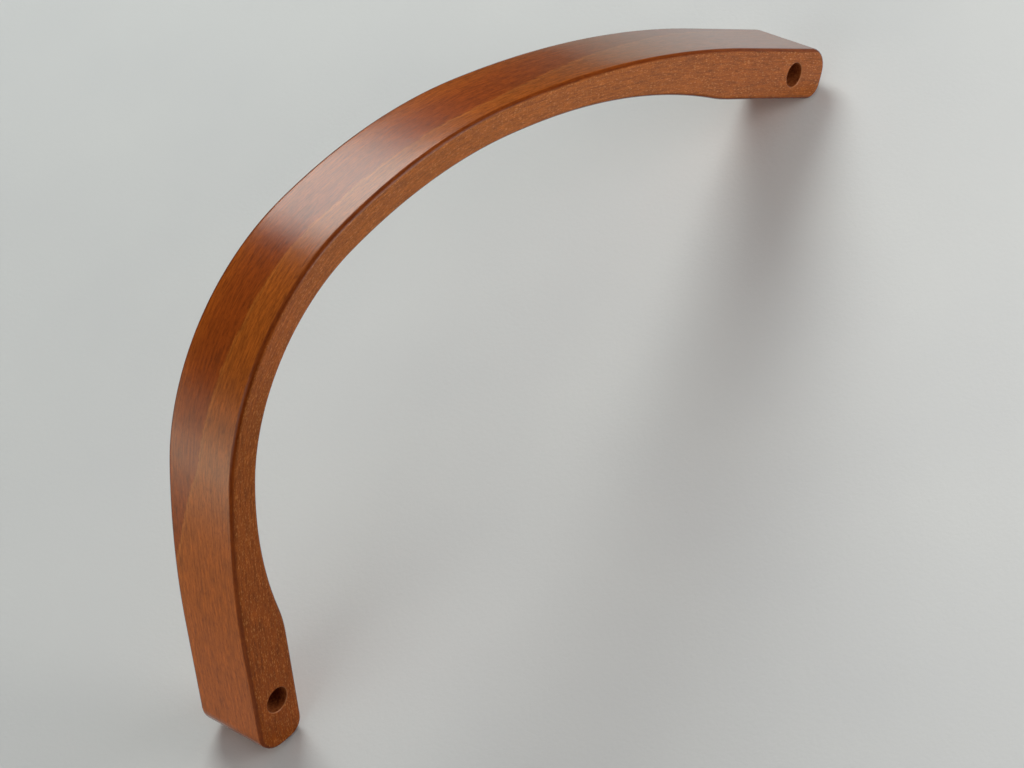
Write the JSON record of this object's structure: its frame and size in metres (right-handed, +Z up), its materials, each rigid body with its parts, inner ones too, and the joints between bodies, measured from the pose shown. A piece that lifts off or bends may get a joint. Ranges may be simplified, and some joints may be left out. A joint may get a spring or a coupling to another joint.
{
  "type": "grab rail",
  "caption": "Curved hardwood grab rail with thickened, rounded ends, cross-drilled for bolts, with recessed metal thread inserts.",
  "frame": {"origin": "middle of the bottom of the bounding box, on the level that both end tips rest on", "axes": "+X from the steep leg to the long sloping leg, +Y from the front side face (open counterbores) to the back side face (bolt side), +Z up to the crown of the bow"},
  "size_m": [0.4394, 0.038, 0.1956],
  "materials": {
    "wood": "satin",
    "metal": "satin"
  },
  "bodies": {
    "root": {"bow": "wood", "insert_left": "metal", "insert_right": "metal"}
  },
  "joints": []
}
